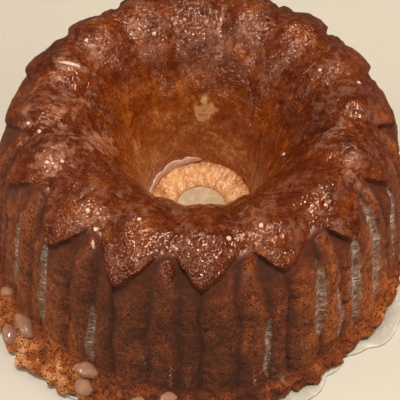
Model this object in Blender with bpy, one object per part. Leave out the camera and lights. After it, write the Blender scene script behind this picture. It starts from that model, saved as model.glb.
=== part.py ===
"""A fluted ring cake, turned out of its tin: one solid loaf of crumb round a hole.

Sixteen lobes run over the top and end in pointed tongues on the shoulder. Between
two tongues a rib climbs out of the wall into an arched recess. The crumb that rose
over the tin's rim is a ragged lip round the foot, widest at the front left, and a
thin collar round the foot of the hole.

Metres, +Z up. The origin is under the middle of the cake's footprint, on the surface
that the cake stands on. Angles are measured from the front, which is -Y, towards +X.
"""

import math
import random

import bmesh
import bpy
import numpy as np

# The loaf's section, as a radius and a height above the base.
HEIGHT = 0.0965
CREST_RADIUS = 0.079
SHOULDER_RADIUS = 0.1075
SHOULDER_HEIGHT = 0.057
FOOT_RADIUS = 0.1185
FOOT_HEIGHT = 0.0105
BASE_RADIUS = 0.113
COLLAR_RADIUS = 0.030
COLLAR_HEIGHT = 0.0060
COLLAR_SLOPE = 0.0020
HOLE_RADIUS = 0.0145
HOLE_SHIFT = (0.0012, 0.0010)
SHOULDER_POWER = 1.23
FUNNEL_POWER = 1.05

# The lobes on top and the tongues that they end in. Drops are measured down the
# outside of the section from the crest, and phases are shares of one lobe's pitch.
LOBES = 16
FIRST_LOBE = math.radians(0.8)
RIB_PHASE = 0.57
TONGUE_DROP = 0.0262
ARCH_DROP = 0.0075
TONGUE_SPREAD = 0.0018
FRONT_TONGUES = {14: 0.0030, 15: 0.0028, 0: -0.0025, 1: -0.0052}
TONGUE_BULGE = 0.0012
TONGUE_ROUNDING = 0.0070
LOBE_DEPTH = 0.0043
CREST_LOBE_SHARE = 0.62
FUNNEL_FADE = 0.034
STEP_WIDTH = 0.0024
SOFT_STEP_WIDTH = 0.0050
RECESS_DEPTH = 0.0042
SOFT_RECESS = 0.70
RECESS_REACH = 0.019
RIB_RECESS = 0.30

# The wall's panel, rib and ridge, between grooves at these phases.
GROOVES = (0.0, 5 / 12, 9 / 12, 1.0)
GROOVE_DEPTH = 0.0031
CREST_DEPTHS = (0.0, 0.0002, 0.0010)
FLUTE_ROUNDING = 0.58

# The lip of risen crumb round the foot.
LIP_RADIUS = 0.1222
LIP_OVERFLOWS = ((-40.0, 16.0, 0.0138), (8.0, 14.0, 0.0040), (-84.0, 16.0, 0.0020))
LIP_SCALLOP = 0.0013
LIP_RAGGEDNESS = 0.0008
LIP_PATH = ((0.30, 0.0112), (0.72, 0.0092), (0.94, 0.0066), (1.0, 0.0042), (0.93, 0.0022))

# Slow unevenness of the whole loaf.
SWELL = 0.0009
WANDER = 0.0014
SEED = 7

COLUMNS = 12 * LOBES
COLLAR_RINGS = 3
FUNNEL_RINGS = 6
TOP_RINGS = 4
WALL_RINGS = 8

CRUMB_COLOUR = (0.165, 0.052, 0.016, 1.0)
CRUMB_ROUGHNESS = 0.45

rng = random.Random(SEED)
TONGUE_DROPS = np.array([TONGUE_DROP + rng.uniform(-1, 1) * TONGUE_SPREAD for _ in range(LOBES)])
for lobe, longer in FRONT_TONGUES.items():
    TONGUE_DROPS[lobe] = TONGUE_DROP + longer
ARCH_DROPS = np.array([ARCH_DROP + rng.uniform(-1, 1) * TONGUE_SPREAD for _ in range(LOBES)])
WAVES = [(count, rng.uniform(0, 2 * math.pi), rng.uniform(0.5, 1.0)) for count in (2, 3, 5, 7)]
WANDER_WAVES = [(count, rng.uniform(0, 2 * math.pi), rng.uniform(0.5, 1.0)) for count in (5, 9, 14)]
RAGGED_WAVES = [(count, rng.uniform(0, 2 * math.pi), rng.uniform(0.4, 1.0)) for count in (19, 27, 41, 58)]


def smooth_step(value, low, high):
    share = np.clip((value - low) / (high - low), 0.0, 1.0)
    return share * share * (3.0 - 2.0 * share)


def waves(azimuth, parts):
    """Periodic unevenness round the cake, between about -1 and 1."""
    total = sum(share for _, _, share in parts)
    return sum(share * np.sin(count * azimuth + start) for count, start, share in parts) / total


def lobe_of(azimuth):
    """The number of the lobe that a direction falls in, and its phase from 0 at that lobe's tip."""
    turns = (azimuth - FIRST_LOBE) / (2 * math.pi / LOBES)
    number = np.floor(turns)
    return number.astype(int) % LOBES, turns - number


def outside_section(steps=240):
    """The outside of the section from the crest to the foot, with the drop along it."""
    turn = np.linspace(0.0, math.pi / 2, steps)
    radius = CREST_RADIUS + (SHOULDER_RADIUS - CREST_RADIUS) * np.sin(turn) ** SHOULDER_POWER
    height = SHOULDER_HEIGHT + (HEIGHT - SHOULDER_HEIGHT) * np.cos(turn) ** SHOULDER_POWER
    radius = np.append(radius, FOOT_RADIUS)
    height = np.append(height, FOOT_HEIGHT)
    drop = np.concatenate([[0.0], np.cumsum(np.hypot(np.diff(radius), np.diff(height)))])
    return drop, radius, height


OUTSIDE = outside_section()
WALL_DROP = OUTSIDE[0][-1]


def on_outside(drop):
    """Radius, height and outward normal of the plain section at a drop below the crest."""
    drops, radii, heights = OUTSIDE
    radius = np.interp(drop, drops, radii)
    height = np.interp(drop, drops, heights)
    ahead = np.minimum(drop + 0.0015, WALL_DROP)
    behind = np.maximum(drop - 0.0015, 0.0)
    along_radius = np.interp(ahead, drops, radii) - np.interp(behind, drops, radii)
    along_height = np.interp(ahead, drops, heights) - np.interp(behind, drops, heights)
    length = np.hypot(along_radius, along_height)
    return radius, height, -along_height / length, along_radius / length


def tongue_edge(azimuth):
    """How far down the outside the top lobes reach: lowest at a tongue's tip, highest at an arch."""
    number, phase = lobe_of(azimuth)
    falling = phase < RIB_PHASE
    share = np.where(falling, phase / RIB_PHASE, (1.0 - phase) / (1.0 - RIB_PHASE))
    share = 0.45 * share + 0.55 * (0.5 - 0.5 * np.cos(math.pi * share))
    tip = np.where(falling, TONGUE_DROPS[number], TONGUE_DROPS[(number + 1) % LOBES])
    return tip + (ARCH_DROPS[number] - tip) * share


def lobe_relief(phase):
    """Depth of the valley between two lobes, from 0 on a lobe to 1 over an arch."""
    return (0.5 - 0.5 * np.cos(2 * math.pi * (phase - RIB_PHASE + 0.5))) ** 1.3


def wall_relief(phase):
    """Relief of the wall's panel, rib and ridge, below the plain section."""
    side = np.clip(np.searchsorted(GROOVES, phase, side="right") - 1, 0, len(CREST_DEPTHS) - 1)
    edges = np.array(GROOVES)
    across = (phase - edges[side]) / (edges[side + 1] - edges[side])
    arch = np.sin(math.pi * np.clip(across, 0.0, 1.0)) ** FLUTE_ROUNDING
    crest = -np.array(CREST_DEPTHS)[side]
    return -GROOVE_DEPTH + (GROOVE_DEPTH + crest) * arch


def step_width(phase):
    """The edge of a tongue is sharp on the flank before its tip, and rounded off past it."""
    sharp = smooth_step(phase, RIB_PHASE, 0.70) * (1.0 - smooth_step(phase, 0.94, 1.0))
    return SOFT_STEP_WIDTH + (STEP_WIDTH - SOFT_STEP_WIDTH) * sharp


def recess_share(phase):
    """How much of the recess shows: most before a tip, less past it, and least on the rib and under a tip."""
    falling = phase < RIB_PHASE
    share = np.where(falling, phase / RIB_PHASE, (1.0 - phase) / (1.0 - RIB_PHASE))
    flank = 0.5 - 0.5 * np.cos(2 * math.pi * share)
    return RIB_RECESS + (np.where(falling, SOFT_RECESS, 1.0) - RIB_RECESS) * flank


def outside_relief(azimuth, drop):
    """Offset of the crust from the plain section, at a drop below the crest."""
    _, phase = lobe_of(azimuth)
    below = drop - tongue_edge(azimuth)
    lobe_share = CREST_LOBE_SHARE + (1.0 - CREST_LOBE_SHARE) * smooth_step(drop, 0.0, 0.012)
    top = -LOBE_DEPTH * lobe_share * lobe_relief(phase)
    top = top + TONGUE_BULGE * np.exp(-((below / TONGUE_ROUNDING) ** 2)) * smooth_step(drop, 0.002, 0.012)
    recess = RECESS_DEPTH * recess_share(phase) * np.exp(-np.maximum(below, 0.0) / RECESS_REACH)
    wall = wall_relief(phase) * (0.55 + 0.45 * smooth_step(below, 0.0, 0.018)) - recess
    return top + (wall - top) * smooth_step(below, 0.0, step_width(phase))


def placed(azimuth, radius, height):
    return np.stack([radius * np.sin(azimuth), -radius * np.cos(azimuth), height], axis=-1)


def outside_point(azimuth, drop):
    radius, height, out, up = on_outside(drop)
    wander = WANDER / radius * waves(azimuth + 14.0 * drop, WANDER_WAVES) * smooth_step(drop, 0.0, 0.04)
    swell = SWELL * waves(azimuth + 6.0 * drop, WAVES) * smooth_step(drop, 0.0, 0.02)
    relief = outside_relief(azimuth, drop) + swell
    return placed(azimuth + wander, radius + out * relief, height + up * relief)


def foot_radius(azimuth):
    """Radius at which the wall meets the lip."""
    edge = np.full_like(azimuth, WALL_DROP)
    point = outside_point(azimuth, edge)
    return np.hypot(point[..., 0], point[..., 1])


def lip_radius(azimuth):
    """Outer radius of the risen lip, with its overflows, its scallops and its ragged edge."""
    _, phase = lobe_of(azimuth)
    radius = LIP_RADIUS + LIP_SCALLOP * (wall_relief(phase) / GROOVE_DEPTH + 0.5) * 2
    for middle, spread, reach in LIP_OVERFLOWS:
        away = (np.degrees(azimuth) - middle + 180.0) % 360.0 - 180.0
        radius = radius + reach * np.exp(-0.5 * (away / spread) ** 2)
    return radius + LIP_RAGGEDNESS * waves(azimuth, RAGGED_WAVES)


def lip_point(azimuth, out, height):
    """A point of the lip, a share of the way out from the foot of the wall to its edge."""
    foot = foot_radius(azimuth)
    width = lip_radius(azimuth) - foot
    lift = 0.0012 * smooth_step(width, 0.006, 0.013) * (1.0 - smooth_step(height, 0.003, 0.008))
    return placed(azimuth, foot + width * out, height + lift)


def inner_lobe_depth(depth):
    """The lobes die away down the hole."""
    return LOBE_DEPTH * CREST_LOBE_SHARE * np.exp(-depth / FUNNEL_FADE)


def funnel_point(azimuth, turn):
    """A point of the hole's wall, from the crest at 0 to the collar at a quarter turn."""
    radius = CREST_RADIUS - (CREST_RADIUS - COLLAR_RADIUS) * np.sin(turn) ** FUNNEL_POWER
    height = COLLAR_HEIGHT + (HEIGHT - COLLAR_HEIGHT) * np.cos(turn) ** FUNNEL_POWER
    _, phase = lobe_of(azimuth)
    relief = -inner_lobe_depth(HEIGHT - height) * lobe_relief(phase)
    low = smooth_step(HEIGHT - height, 0.0, 0.06)
    point = placed(azimuth, radius - np.sin(turn) * relief, height + np.cos(turn) * relief)
    return point + np.multiply.outer(low, (*HOLE_SHIFT, 0.0))


def collar_point(azimuth, share):
    """A point of the collar, from its outer edge at 1 to the rim of the hole at 0."""
    radius = HOLE_RADIUS + (COLLAR_RADIUS - HOLE_RADIUS) * share
    rise = np.sqrt(np.maximum(1.0 - (1.0 - share) ** 2, 0.0))
    height = (COLLAR_HEIGHT - COLLAR_SLOPE) * rise + COLLAR_SLOPE * share
    return placed(azimuth, radius, height) + (*HOLE_SHIFT, 0.0)


def outside_drops(azimuth):
    """The rings down the outside, which follow the tongues' edge so that it stays sharp."""
    edge = tongue_edge(azimuth)
    start = edge + step_width(lobe_of(azimuth)[1])
    rings = [edge * ring / TOP_RINGS for ring in range(TOP_RINGS + 1)] + [start]
    spread = [(ring / WALL_RINGS) ** 1.15 for ring in range(1, WALL_RINGS + 1)]
    return rings + [start + (WALL_DROP - start) * share for share in spread]


def rings_of(azimuth):
    """Every ring of the cake in order: base, rim of the hole, collar, funnel, outside and lip."""
    everywhere = np.ones_like(azimuth)
    yield placed(azimuth, HOLE_RADIUS * everywhere, 0.0 * everywhere) + (*HOLE_SHIFT, 0.0)
    for ring in range(1, COLLAR_RINGS + 1):
        yield collar_point(azimuth, (ring / COLLAR_RINGS) ** 1.6 * everywhere)
    for ring in range(FUNNEL_RINGS, 0, -1):
        yield funnel_point(azimuth, (math.pi / 2) * (ring / (FUNNEL_RINGS + 0.6)) * everywhere)
    for drop in outside_drops(azimuth):
        yield outside_point(azimuth, drop)
    for out, height in LIP_PATH:
        yield lip_point(azimuth, out, height * everywhere)
    yield placed(azimuth, BASE_RADIUS * everywhere, 0.0 * everywhere)


def clear_scene():
    for obj in list(bpy.data.objects):
        bpy.data.objects.remove(obj, do_unlink=True)


def crumb_material():
    material = bpy.data.materials.new("baked_crumb")
    material.use_nodes = True
    shader = material.node_tree.nodes["Principled BSDF"]
    shader.inputs["Base Color"].default_value = CRUMB_COLOUR
    shader.inputs["Roughness"].default_value = CRUMB_ROUGHNESS
    shader.inputs["Metallic"].default_value = 0.0
    return material


def spun_loop(stations):
    """A closed loop of this many points turned once round Z, with each point's place in the loop."""
    bm = bmesh.new()
    station = bm.verts.layers.int.new("station")
    loop = []
    for number in range(stations):
        turn = 2 * math.pi * number / stations
        vert = bm.verts.new((2.0 + math.cos(turn), 0.0, math.sin(turn)))
        vert[station] = number
        loop.append(vert)
    edges = [bm.edges.new((vert, loop[number - 1])) for number, vert in enumerate(loop)]
    bmesh.ops.spin(
        bm,
        geom=loop + edges,
        axis=(0.0, 0.0, 1.0),
        cent=(0.0, 0.0, 0.0),
        steps=COLUMNS,
        angle=2 * math.pi,
        use_merge=True,
    )
    return bm


def ring_cake(collection):
    azimuth = FIRST_LOBE + np.arange(COLUMNS) * (2 * math.pi / COLUMNS)
    points = np.stack(list(rings_of(azimuth)), axis=0)
    points[..., :2] -= (points[..., :2].min(axis=(0, 1)) + points[..., :2].max(axis=(0, 1))) / 2
    bm = spun_loop(len(points))
    station = bm.verts.layers.int["station"]
    for vert in bm.verts:
        column = round(math.atan2(vert.co.y, vert.co.x) / (2 * math.pi / COLUMNS)) % COLUMNS
        vert.co = points[vert[station], column]
    bmesh.ops.recalc_face_normals(bm, faces=bm.faces)
    mesh = bpy.data.meshes.new("cake")
    bm.to_mesh(mesh)
    bm.free()
    mesh.shade_smooth()
    mesh.materials.append(crumb_material())
    cake = bpy.data.objects.new("cake", mesh)
    collection.objects.link(cake)
    return cake


def main():
    clear_scene()
    collection = bpy.data.collections.new("fluted_ring_cake")
    bpy.context.scene.collection.children.link(collection)
    ring_cake(collection)


main()
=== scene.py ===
"""The looks of a glazed ring cake with pointed flutes.

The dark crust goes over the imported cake, with its pores, crags and film of sugar
glaze. Streaks, drops and blobs of thicker glaze lie on it, and a little glaze has
pooled in the hole and round the foot. Metres, +Z up, and the cake's front is -Y.
"""

import math
import random

import bmesh
import bpy
import numpy as np
from mathutils import Matrix, Vector, noise
from mathutils.bvhtree import BVHTree


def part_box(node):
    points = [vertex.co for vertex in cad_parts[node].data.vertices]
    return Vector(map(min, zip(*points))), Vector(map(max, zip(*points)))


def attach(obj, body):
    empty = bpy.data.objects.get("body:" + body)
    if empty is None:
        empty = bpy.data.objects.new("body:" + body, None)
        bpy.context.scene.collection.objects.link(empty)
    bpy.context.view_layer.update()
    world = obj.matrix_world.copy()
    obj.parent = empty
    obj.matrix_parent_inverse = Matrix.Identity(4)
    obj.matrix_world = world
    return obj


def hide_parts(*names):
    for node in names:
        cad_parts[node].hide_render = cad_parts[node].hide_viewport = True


bl_info = {
    "name": "Glazed Ring Cake",
    "version": (1, 0, 0),
    "blender": (4, 5, 0),
    "location": "3D View > Sidebar > Cake",
    "description": "Crust, glaze and stage of a fluted ring cake",
    "category": "Add Mesh",
}

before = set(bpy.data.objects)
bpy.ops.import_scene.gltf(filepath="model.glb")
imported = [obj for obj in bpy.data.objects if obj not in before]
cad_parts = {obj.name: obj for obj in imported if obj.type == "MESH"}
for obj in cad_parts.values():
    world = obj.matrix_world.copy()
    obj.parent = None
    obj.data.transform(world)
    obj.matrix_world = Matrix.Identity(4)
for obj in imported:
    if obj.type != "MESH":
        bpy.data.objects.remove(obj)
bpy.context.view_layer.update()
_, CAKE_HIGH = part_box("cake")

# The loaf's section, as a radius and a height above the base.
HEIGHT = CAKE_HIGH.z
CREST_RADIUS = 0.079
SHOULDER_RADIUS = 0.1075
SHOULDER_HEIGHT = 0.057
FOOT_RADIUS = 0.1185
FOOT_HEIGHT = 0.0105
BASE_RADIUS = 0.113
COLLAR_RADIUS = 0.03
COLLAR_HEIGHT = 0.006
COLLAR_SLOPE = 0.002
HOLE_RADIUS = 0.0145
HOLE_SHIFT = (0.0012, 0.001)
SHOULDER_POWER = 1.23
FUNNEL_POWER = 1.05

# The lobes on top and the tongues that they end in. Drops are measured down the outside
# from the crest, and phases are shares of one lobe's pitch.
LOBES = 16
FIRST_LOBE = math.radians(0.8)
RIB_PHASE = 0.57
TONGUE_DROP = 0.0262
ARCH_DROP = 0.0075
TONGUE_SPREAD = 0.0018
FRONT_TONGUES = {14: 0.003, 15: 0.0028, 0: -0.0025, 1: -0.0052}
TONGUE_BULGE = 0.0012
TONGUE_ROUNDING = 0.007
LOBE_DEPTH = 0.0043
CREST_LOBE_SHARE = 0.62
FUNNEL_FADE = 0.034
STEP_WIDTH = 0.0024
SOFT_STEP_WIDTH = 0.005
RECESS_DEPTH = 0.0042
SOFT_RECESS = 0.7
RECESS_REACH = 0.019
RIB_RECESS = 0.3

# The wall's panel, rib and ridge, between grooves at these phases.
GROOVES = (0.0, 5 / 12, 9 / 12, 1.0)
GROOVE_DEPTH = 0.0031
CREST_DEPTHS = (0.0, 0.0002, 0.001)
FLUTE_ROUNDING = 0.58

# The lip of risen crumb round the foot.
LIP_RADIUS = 0.1222
LIP_OVERFLOWS = ((-40.0, 16.0, 0.0138), (8.0, 14.0, 0.004), (-84.0, 16.0, 0.002))
LIP_SCALLOP = 0.0013
LIP_RAGGEDNESS = 0.0008
LIP_PATH = ((0.3, 0.0112), (0.72, 0.0092), (0.94, 0.0066), (1.0, 0.0042), (0.93, 0.0022))
LIP_SKIN = ((0.0, FOOT_HEIGHT + 0.0006), *LIP_PATH)

# Slow unevenness of the whole loaf.
SWELL = 0.0009
WANDER = 0.0014
SEED = 7

# The dressed mesh is finer than the solid round the cake, and has these rings.
SOLID_COLUMNS = 12 * LOBES
COLUMNS = 33 * LOBES
COLLAR_RINGS = 18
FUNNEL_RINGS = 54
TOP_RINGS = 27
STEP_RINGS = 5
WALL_RINGS = 54
LIP_RINGS = 4

# How far glaze runs down the wall, how far round the lip is golden, and how much way the lip takes.
RUN_LENGTH = 0.014
GOLDEN_SPREAD = 17.0
LIP_WAY = 0.012

# Radii that turn a width in metres into an angle: low on the wall, and for the skin as a whole.
WALL_RADIUS = 0.115
SKIN_RADIUS = 0.1

# How far the underside of laid glaze reaches into the crust, and how wavy a streak's edge is.
GLAZE_SINK = 0.0003
EDGE_WAVES_PER_METRE = 260.0

# How darkly each part is baked, and what darkens or lightens the wall there. STEP_TONE darkens
# down the step under a tongue's edge, painted shade leading into the recess. WET_SHADE darkens
# the wet band under the tongues, less on the ribs by RIB_LIGHTNESS. RECESS_SHADE is painted shade
# in the recess under a tongue's edge, fading over RECESS_SHADE_REACH. GROOVE_SHADE darkens the
# grooves: partly darker crust, partly painted shade.
TOP_TONE = 0.75
STEP_TONE = 0.78
WALL_TONE = 0.64
UNDERSIDE_TONE = 0.3
RECESS_SHADE = 0.24
RECESS_SHADE_REACH = 0.009
WET_SHADE = 0.22
RIB_LIGHTNESS = 0.18
GROOVE_SHADE = 0.36

# Relief of the crust: how many bumps there are to a metre, the broad crags' share of depth,
# a pit's reach as a share of their spacing, and how choosy the pits' places are.
LUMPS_PER_METRE = 120.0
CRAGS_PER_METRE = 230.0
BROAD_CRAGS_PER_METRE = 95.0
PEBBLES_PER_METRE = 370.0
PIT_AREAS_PER_METRE = 90.0
BROAD_CRAG_SHARE = 0.9
PIT_WIDTH = 0.45
PIT_CHOICE = 0.12
LIP_PITS = 0.35

# How ragged a patch's edge is, as a share of its reach, and the waves that make it so. CREVICE_SHADE
# is painted shade and light on the relief: how much darker the crust is painted for each metre that
# its relief lies below the plain form, and lighter where it stands above it.
PATCH_RAGGEDNESS = 0.22
SWIRL_WAVES = (700.0, 800.0, 600.0)
SWIRL_BENDS = 500.0
CREVICE_SHADE = 65.0

# Patches of the skin that differ: which share, from one direction in degrees and way
# down the skin from the crest to another, the patch's reach and how much it adds. Some tone
# patches are painted light and shade, as marked below.
PATCHES = {
    "film": (
        ((-75.0, -0.051), (-61.0, 0.003), 0.01, 1.0),
        ((-94.0, -0.032), (-80.0, 0.007), 0.01, 0.5),
        ((60.0, 0.007), (57.0, 0.021), 0.009, 0.5),
        ((42.0, 0.01), (42.0, 0.016), 0.009, 0.5),
        ((20.0, -0.028), (20.0, -0.022), 0.007, 0.5),
        ((70.0, -0.02), (85.0, -0.012), 0.008, 0.5),
        ((-130.0, 0.004), (-141.0, 0.012), 0.011, 0.5),
        ((171.0, -0.02), (164.0, 0.008), 0.008, 0.5),
        ((-108.5, -0.002), (-111.5, -0.023), 0.006, 1.0),
        ((19.0, 0.08), (21.5, 0.098), 0.005, 0.9),
    ),
    "tone": (
        ((180.0, -0.076), (177.0, -0.074), 0.007, -0.5),
        ((165.0, -0.09), (150.0, -0.098), 0.009, -0.07),
        ((-150.0, -0.085), (-120.0, -0.095), 0.01, -0.07),
        ((-100.0, -0.062), (-90.0, -0.08), 0.01, -0.04),
        # Painted light: the wall lighter on its right and left sides.
        ((34.0, 0.05), (52.0, 0.09), 0.034, -0.18),
        ((-60.0, 0.05), (-40.0, 0.09), 0.034, -0.14),
        # Painted shade on the right side of the funnel.
        ((80.0, -0.03), (105.0, -0.08), 0.03, 0.14),
        # Painted shade on the front of the wall.
        ((-8.0, 0.05), (8.0, 0.08), 0.03, 0.1),
        # Painted shade on the lip's upturned ledge at the front.
        ((-14.0, 0.1), (16.0, 0.106), 0.02, 0.2),
        ((11.4, 0.054), (11.3, 0.07), 0.003, -0.22),
        ((-12.4, 0.098), (-12.0, 0.102), 0.006, -0.25),
        ((7.9, 0.102), (8.5, 0.107), 0.005, -0.22),
        ((17.1, 0.102), (17.5, 0.107), 0.005, -0.25),
    ),
}

CAKE = "glazed_cake"
LIGHT_COLOUR = (1.0, 0.95, 0.87)

rng = random.Random(SEED)


def uneven_drops(usual):
    return np.array([usual + rng.uniform(-1, 1) * TONGUE_SPREAD for _ in range(LOBES)])


def draw_waves(counts, least=0.5):
    return [(count, rng.uniform(0, 2 * math.pi), rng.uniform(least, 1.0)) for count in counts]


TONGUE_DROPS = uneven_drops(TONGUE_DROP)
for lobe, longer in FRONT_TONGUES.items():
    TONGUE_DROPS[lobe] = TONGUE_DROP + longer
ARCH_DROPS = uneven_drops(ARCH_DROP)
WAVES = draw_waves((2, 3, 5, 7))
WANDER_WAVES = draw_waves((5, 9, 14))
RAGGED_WAVES = draw_waves((19, 27, 41, 58), 0.4)


# Form of the cake, the same as the solid's.


def ease(value, low, high):
    share = np.clip((value - low) / (high - low), 0.0, 1.0)
    return share * share * (3.0 - 2.0 * share)


def waves(azimuth, parts):
    """Periodic unevenness round the cake, between about -1 and 1."""
    total = sum(share for _, _, share in parts)
    return sum(share * np.sin(count * azimuth + start) for count, start, share in parts) / total


def lobe_of(azimuth):
    """The number of the lobe that a direction falls in, and its phase from 0 at that lobe's tip."""
    turns = (azimuth - FIRST_LOBE) / (2 * math.pi / LOBES)
    number = np.floor(turns)
    return number.astype(int) % LOBES, turns - number


def outside_section(steps=240):
    """The outside of the section from the crest to the foot, with the drop along it."""
    turn = np.linspace(0.0, math.pi / 2, steps)
    radius = CREST_RADIUS + (SHOULDER_RADIUS - CREST_RADIUS) * np.sin(turn) ** SHOULDER_POWER
    height = SHOULDER_HEIGHT + (HEIGHT - SHOULDER_HEIGHT) * np.cos(turn) ** SHOULDER_POWER
    radius = np.append(radius, FOOT_RADIUS)
    height = np.append(height, FOOT_HEIGHT)
    drop = np.concatenate([[0.0], np.cumsum(np.hypot(np.diff(radius), np.diff(height)))])
    return drop, radius, height


OUTSIDE = outside_section()
WALL_DROP = OUTSIDE[0][-1]


def on_outside(drop):
    """Radius, height and outward normal of the plain section at a drop below the crest."""
    drops, radii, heights = OUTSIDE
    radius = np.interp(drop, drops, radii)
    height = np.interp(drop, drops, heights)
    ahead = np.minimum(drop + 0.0015, WALL_DROP)
    behind = np.maximum(drop - 0.0015, 0.0)
    along_radius = np.interp(ahead, drops, radii) - np.interp(behind, drops, radii)
    along_height = np.interp(ahead, drops, heights) - np.interp(behind, drops, heights)
    length = np.hypot(along_radius, along_height)
    return radius, height, -along_height / length, along_radius / length


def from_tip(phase):
    """Whether a phase comes before the rib, and its share of the way from the nearer tip to the rib."""
    falling = phase < RIB_PHASE
    return falling, np.where(falling, phase / RIB_PHASE, (1.0 - phase) / (1.0 - RIB_PHASE))


def tongue_edge(azimuth):
    """How far down the outside the top lobes reach: lowest at a tongue's tip, highest at an arch."""
    number, phase = lobe_of(azimuth)
    falling, share = from_tip(phase)
    share = 0.45 * share + 0.55 * (0.5 - 0.5 * np.cos(math.pi * share))
    tip = np.where(falling, TONGUE_DROPS[number], TONGUE_DROPS[(number + 1) % LOBES])
    return tip + (ARCH_DROPS[number] - tip) * share


def lobe_relief(phase):
    """Depth of the valley between two lobes, from 0 on a lobe to 1 over an arch."""
    return (0.5 - 0.5 * np.cos(2 * math.pi * (phase - RIB_PHASE + 0.5))) ** 1.3


def wall_relief(phase):
    """Relief of the wall's panel, rib and ridge, below the plain section."""
    side = np.clip(np.searchsorted(GROOVES, phase, side="right") - 1, 0, len(CREST_DEPTHS) - 1)
    edges = np.array(GROOVES)
    across = (phase - edges[side]) / (edges[side + 1] - edges[side])
    arch = np.sin(math.pi * np.clip(across, 0.0, 1.0)) ** FLUTE_ROUNDING
    crest = -np.array(CREST_DEPTHS)[side]
    return -GROOVE_DEPTH + (GROOVE_DEPTH + crest) * arch


def step_width(phase):
    """The edge of a tongue is sharp on the flank before its tip, and rounded off past it."""
    sharp = ease(phase, RIB_PHASE, 0.7) * (1.0 - ease(phase, 0.94, 1.0))
    return SOFT_STEP_WIDTH + (STEP_WIDTH - SOFT_STEP_WIDTH) * sharp


def recess_share(phase):
    """How much of the recess shows: most before a tip, less past it, and least on the rib and under a tip."""
    falling, share = from_tip(phase)
    flank = 0.5 - 0.5 * np.cos(2 * math.pi * share)
    return RIB_RECESS + (np.where(falling, SOFT_RECESS, 1.0) - RIB_RECESS) * flank


def outside_relief(azimuth, drop):
    """Offset of the crust from the plain section, at a drop below the crest."""
    _, phase = lobe_of(azimuth)
    below = drop - tongue_edge(azimuth)
    lobe_share = CREST_LOBE_SHARE + (1.0 - CREST_LOBE_SHARE) * ease(drop, 0.0, 0.012)
    top = -LOBE_DEPTH * lobe_share * lobe_relief(phase)
    top = top + TONGUE_BULGE * np.exp(-((below / TONGUE_ROUNDING) ** 2)) * ease(drop, 0.002, 0.012)
    recess = RECESS_DEPTH * recess_share(phase) * np.exp(-np.maximum(below, 0.0) / RECESS_REACH)
    wall = wall_relief(phase) * (0.55 + 0.45 * ease(below, 0.0, 0.018)) - recess
    return top + (wall - top) * ease(below, 0.0, step_width(phase))


def placed(azimuth, radius, height):
    return np.stack([radius * np.sin(azimuth), -radius * np.cos(azimuth), height], axis=-1)


def outside_point(azimuth, drop):
    radius, height, out, up = on_outside(drop)
    wander = WANDER / radius * waves(azimuth + 14.0 * drop, WANDER_WAVES) * ease(drop, 0.0, 0.04)
    swell = SWELL * waves(azimuth + 6.0 * drop, WAVES) * ease(drop, 0.0, 0.02)
    relief = outside_relief(azimuth, drop) + swell
    return placed(azimuth + wander, radius + out * relief, height + up * relief)


def foot_radius(azimuth):
    """Radius at which the wall meets the lip."""
    point = outside_point(azimuth, np.full_like(azimuth, WALL_DROP))
    return np.hypot(point[..., 0], point[..., 1])


def degrees_from(azimuth, middle):
    return (np.degrees(azimuth) - middle + 180.0) % 360.0 - 180.0


def lip_radius(azimuth):
    """Outer radius of the risen lip, with its overflows, its scallops and its ragged edge."""
    _, phase = lobe_of(azimuth)
    radius = LIP_RADIUS + LIP_SCALLOP * (wall_relief(phase) / GROOVE_DEPTH + 0.5) * 2
    for middle, spread, reach in LIP_OVERFLOWS:
        radius = radius + reach * np.exp(-0.5 * (degrees_from(azimuth, middle) / spread) ** 2)
    return radius + LIP_RAGGEDNESS * waves(azimuth, RAGGED_WAVES)


def lip_point(azimuth, out, height):
    """A point of the lip, a share of the way out from the foot of the wall to its edge."""
    foot = foot_radius(azimuth)
    width = lip_radius(azimuth) - foot
    lift = 0.0012 * ease(width, 0.006, 0.013) * (1.0 - ease(height, 0.003, 0.008))
    return placed(azimuth, foot + width * out, height + lift)


def funnel_point(azimuth, turn):
    """A point of the hole's wall, from the crest at 0 to the collar at a quarter turn."""
    radius = CREST_RADIUS - (CREST_RADIUS - COLLAR_RADIUS) * np.sin(turn) ** FUNNEL_POWER
    height = COLLAR_HEIGHT + (HEIGHT - COLLAR_HEIGHT) * np.cos(turn) ** FUNNEL_POWER
    _, phase = lobe_of(azimuth)
    relief = -LOBE_DEPTH * CREST_LOBE_SHARE * np.exp((height - HEIGHT) / FUNNEL_FADE) * lobe_relief(phase)
    low = ease(HEIGHT - height, 0.0, 0.06)
    point = placed(azimuth, radius - np.sin(turn) * relief, height + np.cos(turn) * relief)
    return point + np.multiply.outer(low, (*HOLE_SHIFT, 0.0))


def collar_point(azimuth, share):
    """A point of the collar, from its outer edge at 1 to the rim of the hole at 0."""
    radius = HOLE_RADIUS + (COLLAR_RADIUS - HOLE_RADIUS) * share
    rise = np.sqrt(np.maximum(1.0 - (1.0 - share) ** 2, 0.0))
    height = (COLLAR_HEIGHT - COLLAR_SLOPE) * rise + COLLAR_SLOPE * share
    return placed(azimuth, radius, height) + (*HOLE_SHIFT, 0.0)


def lip_gold(azimuth):
    """How golden the lip is: most where it has run over widest, and as brown as the wall elsewhere."""
    return 0.95 * np.exp(-0.5 * (degrees_from(azimuth, LIP_OVERFLOWS[0][0]) / GOLDEN_SPREAD) ** 2)


def solid_shift():
    """How far the solid was moved so that its box is centred: from the middle of its lip's outline."""
    azimuth = FIRST_LOBE + np.arange(SOLID_COLUMNS) * (2 * math.pi / SOLID_COLUMNS)
    rings = [lip_point(azimuth, out, np.full_like(azimuth, height)) for out, height in LIP_PATH]
    edge = np.concatenate(rings)
    middle = (edge.min(axis=0) + edge.max(axis=0)) / 2
    return np.array((-middle[0], -middle[1], 0.0))


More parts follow.
